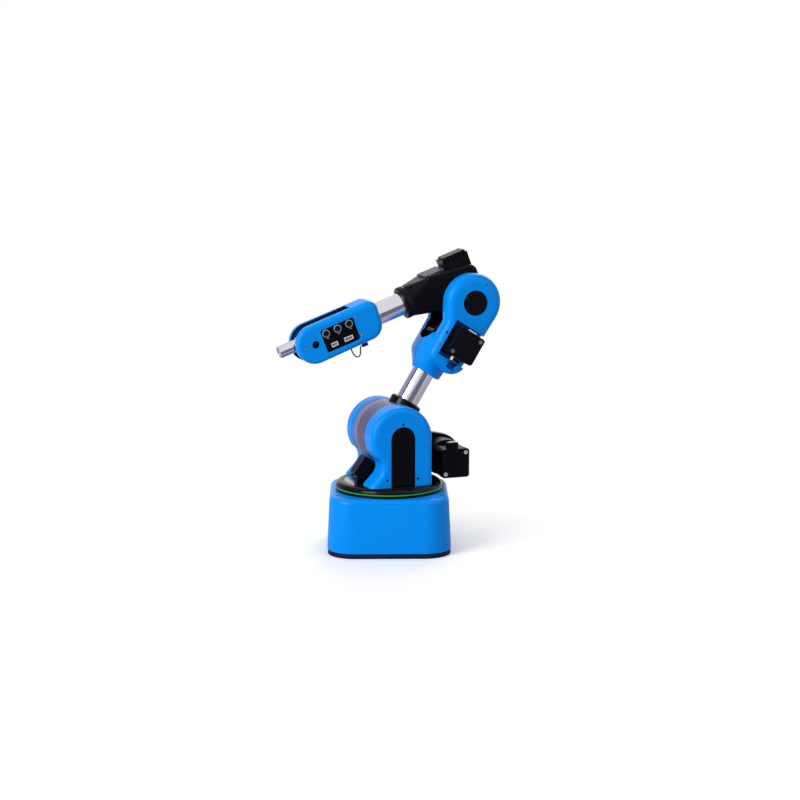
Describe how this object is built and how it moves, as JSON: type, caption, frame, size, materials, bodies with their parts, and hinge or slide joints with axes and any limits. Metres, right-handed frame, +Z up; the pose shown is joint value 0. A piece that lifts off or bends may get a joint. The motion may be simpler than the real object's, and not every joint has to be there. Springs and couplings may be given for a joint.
{
  "type": "desktop robot arm",
  "caption": "Six-axis desktop robot arm with a square base, turntable, jointed tube arm, wrist buttons and a round tool shaft.",
  "frame": {"origin": "centre of the base's bottom face, on the surface it stands on", "axes": "+Z up, +X the arm's own forward direction, +Y its left side; at rest the arm is turned 18.64 degrees from +X towards +Y"},
  "size_m": [0.3192, 0.1786, 0.4284],
  "materials": {
    "blue_shell": "glossy moulded plastic",
    "rubber_foot": "dull",
    "gloss_black": "glossy",
    "black_shell": "satin moulded plastic",
    "motor_black": "satin paint",
    "grey_drum": "satin moulded plastic",
    "polished_tube": "polished",
    "plain_steel": "brushed",
    "bright_screw": "bright",
    "white_plug": "satin",
    "green_light": "translucent strip",
    "button_cap": "satin",
    "black_lead": "satin"
  },
  "bodies": {
    "base": {"foot_plate": "rubber_foot", "base_shell": "blue_shell", "chassis_plate": "plain_steel", "base_motor": "motor_black", "base_belt": "rubber_foot", "base_bearing": "plain_steel", "ring_cover": "gloss_black", "light_ring": "green_light", "rear_panel": "black_shell", "rear_ports": "plain_steel", "base_screws": "bright_screw"},
    "power_switch": {"power_rocker": "black_shell"},
    "base_drive": {"base_pulley": "plain_steel"},
    "turntable": {"turntable_disc": "gloss_black", "turntable_hub": "polished_tube", "shoulder_cover_left": "blue_shell", "shoulder_cover_right": "blue_shell", "side_inlay": "gloss_black", "cable_block": "gloss_black", "motor_bracket": "black_shell", "shoulder_motor": "motor_black", "shoulder_motor_cover": "motor_black", "shoulder_plug": "white_plug", "belt_housing": "black_shell", "shoulder_bearings": "plain_steel", "cover_screws": "bright_screw"},
    "upper_arm": {"shoulder_drum": "grey_drum", "tube_collar": "black_shell", "upper_tube": "polished_tube", "elbow_housing_left": "blue_shell", "elbow_housing_right": "blue_shell", "axle_caps": "black_shell", "elbow_axle": "plain_steel", "elbow_motor": "motor_black", "elbow_motor_cover": "motor_black", "elbow_plugs": "white_plug", "motor_cable": "black_lead", "elbow_liner": "black_shell", "housing_screws": "bright_screw"},
    "elbow_link": {"elbow_body": "black_shell", "elbow_lid": "grey_drum", "roll_servo": "black_shell", "elbow_bearings": "plain_steel", "roll_bearing": "plain_steel", "elbow_screws": "bright_screw"},
    "forearm": {"forearm_tube": "polished_tube", "wrist_housing_left": "blue_shell", "wrist_housing_right": "blue_shell", "button_panel": "gloss_black", "button_rings": "bright_screw", "tool_ports": "white_plug", "wrist_servo": "black_shell", "wrist_screws": "bright_screw", "wrist_cord": "black_lead", "cord_plug": "black_lead"},
    "hand": {"hand_block": "white_plug"},
    "tool": {"tool_shaft": "polished_tube"},
    "front_button": {"button_front": "button_cap"},
    "middle_button": {"button_middle": "button_cap"},
    "rear_button": {"button_rear": "button_cap"}
  },
  "joints": [
    {"name": "base_turn", "type": "hinge", "parent": "base", "child": "turntable", "pos_m": [0, 0, 0.09], "axis": [0, 0, 1], "range_deg": [-188.6, 151.4]},
    {"name": "drive_spin", "type": "hinge", "parent": "base", "child": "base_drive", "pos_m": [0.057, 0, 0.06], "axis": [0, 0, 1], "range_deg": [-900, 722]},
    {"name": "power_switch_rock", "type": "hinge", "parent": "base", "child": "power_switch", "pos_m": [-0.08264, 0.032, 0.04275], "axis": [0, -1, 0], "range_deg": [0, 14]},
    {"name": "shoulder_pitch", "type": "hinge", "parent": "turntable", "child": "upper_arm", "pos_m": [0, 0, 0.1655], "axis": [-0.3196, 0.9475, 0], "range_deg": [-3.4, 88]},
    {"name": "elbow_pitch", "type": "hinge", "parent": "upper_arm", "child": "elbow_link", "pos_m": [-0.10973, -0.03701, 0.35373], "axis": [0.3196, -0.9475, 0], "range_deg": [-22, 142.2]},
    {"name": "forearm_roll", "type": "hinge", "parent": "elbow_link", "child": "forearm", "pos_m": [-0.0368, -0.01242, 0.35952], "axis": [0.887, 0.2992, -0.3518], "range_deg": [-120, 120]},
    {"name": "wrist_pitch", "type": "hinge", "parent": "forearm", "child": "hand", "pos_m": [0.10954, 0.03695, 0.30147], "axis": [0.3196, -0.9475, 0], "range_deg": [-100, 110]},
    {"name": "tool_roll", "type": "hinge", "parent": "hand", "child": "tool", "pos_m": [0.12912, 0.04355, 0.29958], "axis": [0.887, 0.2992, -0.3518], "range_deg": [-145, 145]},
    {"name": "front_button_press", "type": "slide", "parent": "forearm", "child": "front_button", "axis": [0.3196, -0.9475, 0], "range_m": [0, 0.0008], "stiffness_N_per_m": 600, "springref_m": -0.0003},
    {"name": "middle_button_press", "type": "slide", "parent": "forearm", "child": "middle_button", "axis": [0.3196, -0.9475, 0], "range_m": [0, 0.0008], "stiffness_N_per_m": 600, "springref_m": -0.0003},
    {"name": "rear_button_press", "type": "slide", "parent": "forearm", "child": "rear_button", "axis": [0.3196, -0.9475, 0], "range_m": [0, 0.0008], "stiffness_N_per_m": 600, "springref_m": -0.0003}
  ],
  "couplings": [
    {"joint": "drive_spin", "follows": "base_turn", "ratio": 4.75}
  ]
}
